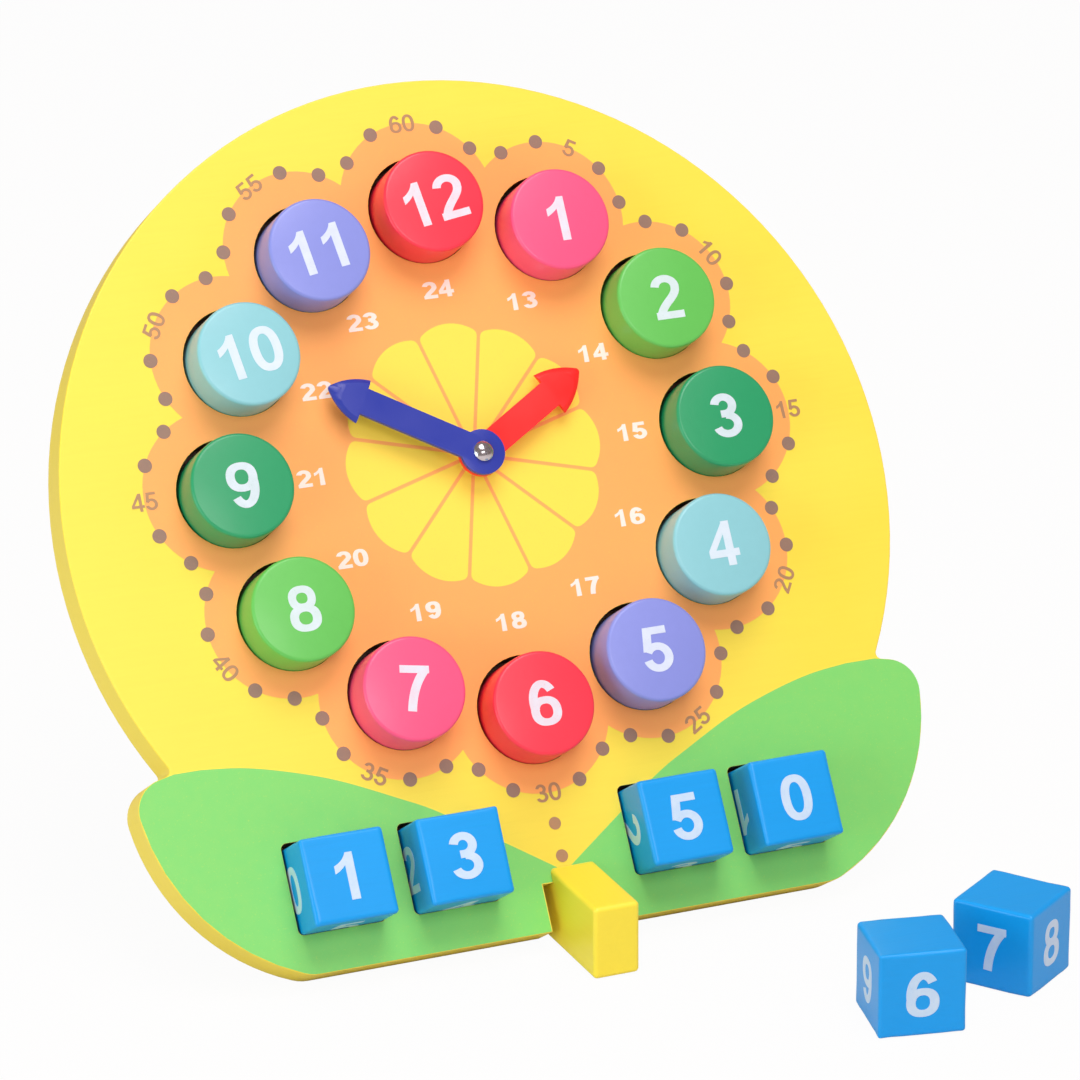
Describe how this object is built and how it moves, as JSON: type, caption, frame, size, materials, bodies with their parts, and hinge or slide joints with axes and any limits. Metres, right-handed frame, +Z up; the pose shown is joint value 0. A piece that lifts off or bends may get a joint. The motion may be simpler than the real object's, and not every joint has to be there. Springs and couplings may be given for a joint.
{
  "type": "geared teaching clock",
  "caption": "Round wooden learning clock that leans back on a slotted foot, with loose number discs and cubes in recesses and two arrow hands joined by a twelve to one gear train.",
  "frame": {"origin": "on the table at the foot's underside, straight below the dial centre", "axes": "+Z up, the dial faces -Y and leans back, +X to the right as the dial is read"},
  "size_m": [0.2902, 0.2725, 0.2544],
  "materials": {
    "board_yellow": "satin paint on wood",
    "disc_red": "satin paint on wood",
    "disc_pink": "satin paint on wood",
    "disc_light_green": "satin paint on wood",
    "disc_dark_green": "satin paint on wood",
    "disc_light_blue": "satin paint on wood",
    "disc_violet": "satin paint on wood",
    "cube_blue": "satin paint on wood",
    "hour_hand_red": "semi-gloss moulding",
    "minute_hand_blue": "semi-gloss moulding",
    "housing_white": "matt moulding",
    "gear_cream": "matt moulding",
    "bright_steel": "bright plated",
    "leaf_green_print": "printed on the board's paint",
    "flower_orange_print": "printed on the board's paint",
    "daisy_yellow_print": "printed on the board's paint",
    "grey_print": "printed on the board's paint",
    "white_print": "printed on the paint"
  },
  "bodies": {
    "foot": {"foot": "board_yellow"},
    "clock_board": {"face_board": "board_yellow", "back_board": "board_yellow", "centre_bush": "housing_white", "gearbox_base": "housing_white", "gearbox_cover": "housing_white", "gearbox_screws": "bright_steel", "wheel_stud": "bright_steel", "friction_washer": "bright_steel"},
    "minute_works": {"minute_arbor": "gear_cream", "minute_hand": "minute_hand_blue", "hand_screw": "bright_steel"},
    "hour_works": {"hour_wheel": "gear_cream", "hour_hand": "hour_hand_red"},
    "minute_wheel": {"minute_wheel": "gear_cream"},
    "hour_disc_01": {"hour_disc_01": "disc_pink"},
    "hour_disc_02": {"hour_disc_02": "disc_light_green"},
    "hour_disc_03": {"hour_disc_03": "disc_dark_green"},
    "hour_disc_04": {"hour_disc_04": "disc_light_blue"},
    "hour_disc_05": {"hour_disc_05": "disc_violet"},
    "hour_disc_06": {"hour_disc_06": "disc_red"},
    "hour_disc_07": {"hour_disc_07": "disc_pink"},
    "hour_disc_08": {"hour_disc_08": "disc_light_green"},
    "hour_disc_09": {"hour_disc_09": "disc_dark_green"},
    "hour_disc_10": {"hour_disc_10": "disc_light_blue"},
    "hour_disc_11": {"hour_disc_11": "disc_violet"},
    "hour_disc_12": {"hour_disc_12": "disc_red"},
    "board_cube_1": {"board_cube_1": "cube_blue"},
    "board_cube_2": {"board_cube_2": "cube_blue"},
    "board_cube_3": {"board_cube_3": "cube_blue"},
    "board_cube_4": {"board_cube_4": "cube_blue"},
    "spare_cube_1": {"spare_cube_1": "cube_blue"},
    "spare_cube_2": {"spare_cube_2": "cube_blue"}
  },
  "joints": [
    {"name": "board_lift", "type": "slide", "parent": "foot", "child": "clock_board", "axis": [0, 0.524, 0.8517], "range_m": [0, 0.06]},
    {"name": "minute_hand_turn", "type": "hinge", "parent": "clock_board", "child": "minute_works", "pos_m": [0, -0.00063, 0.14309], "axis": [0, 0.8517, -0.524], "continuous": true},
    {"name": "hour_hand_turn", "type": "hinge", "parent": "clock_board", "child": "hour_works", "pos_m": [0, -0.00063, 0.14309], "axis": [0, 0.8517, -0.524], "continuous": true},
    {"name": "minute_wheel_turn", "type": "hinge", "parent": "clock_board", "child": "minute_wheel", "pos_m": [0, 0.00593, 0.11557], "axis": [0, 0.8517, -0.524], "continuous": true},
    {"name": "hour_disc_01_lift", "type": "slide", "parent": "clock_board", "child": "hour_disc_01", "axis": [0, -0.8517, 0.524], "range_m": [0, 0.03]},
    {"name": "hour_disc_02_lift", "type": "slide", "parent": "clock_board", "child": "hour_disc_02", "axis": [0, -0.8517, 0.524], "range_m": [0, 0.03]},
    {"name": "hour_disc_03_lift", "type": "slide", "parent": "clock_board", "child": "hour_disc_03", "axis": [0, -0.8517, 0.524], "range_m": [0, 0.03]},
    {"name": "hour_disc_04_lift", "type": "slide", "parent": "clock_board", "child": "hour_disc_04", "axis": [0, -0.8517, 0.524], "range_m": [0, 0.03]},
    {"name": "hour_disc_05_lift", "type": "slide", "parent": "clock_board", "child": "hour_disc_05", "axis": [0, -0.8517, 0.524], "range_m": [0, 0.03]},
    {"name": "hour_disc_06_lift", "type": "slide", "parent": "clock_board", "child": "hour_disc_06", "axis": [0, -0.8517, 0.524], "range_m": [0, 0.03]},
    {"name": "hour_disc_07_lift", "type": "slide", "parent": "clock_board", "child": "hour_disc_07", "axis": [0, -0.8517, 0.524], "range_m": [0, 0.03]},
    {"name": "hour_disc_08_lift", "type": "slide", "parent": "clock_board", "child": "hour_disc_08", "axis": [0, -0.8517, 0.524], "range_m": [0, 0.03]},
    {"name": "hour_disc_09_lift", "type": "slide", "parent": "clock_board", "child": "hour_disc_09", "axis": [0, -0.8517, 0.524], "range_m": [0, 0.03]},
    {"name": "hour_disc_10_lift", "type": "slide", "parent": "clock_board", "child": "hour_disc_10", "axis": [0, -0.8517, 0.524], "range_m": [0, 0.03]},
    {"name": "hour_disc_11_lift", "type": "slide", "parent": "clock_board", "child": "hour_disc_11", "axis": [0, -0.8517, 0.524], "range_m": [0, 0.03]},
    {"name": "hour_disc_12_lift", "type": "slide", "parent": "clock_board", "child": "hour_disc_12", "axis": [0, -0.8517, 0.524], "range_m": [0, 0.03]},
    {"name": "board_cube_1_lift", "type": "slide", "parent": "clock_board", "child": "board_cube_1", "axis": [0, -0.8517, 0.524], "range_m": [0, 0.03]},
    {"name": "board_cube_2_lift", "type": "slide", "parent": "clock_board", "child": "board_cube_2", "axis": [0, -0.8517, 0.524], "range_m": [0, 0.03]},
    {"name": "board_cube_3_lift", "type": "slide", "parent": "clock_board", "child": "board_cube_3", "axis": [0, -0.8517, 0.524], "range_m": [0, 0.03]},
    {"name": "board_cube_4_lift", "type": "slide", "parent": "clock_board", "child": "board_cube_4", "axis": [0, -0.8517, 0.524], "range_m": [0, 0.03]},
    {"name": "spare_cube_1_lift", "type": "slide", "parent": "foot", "child": "spare_cube_1", "axis": [0, 0, 1], "range_m": [0, 0.06]},
    {"name": "spare_cube_2_lift", "type": "slide", "parent": "foot", "child": "spare_cube_2", "axis": [0, 0, 1], "range_m": [0, 0.06]}
  ],
  "couplings": [
    {"joint": "hour_hand_turn", "follows": "minute_hand_turn", "ratio": 0.083333},
    {"joint": "minute_wheel_turn", "follows": "minute_hand_turn", "ratio": -0.33333}
  ]
}
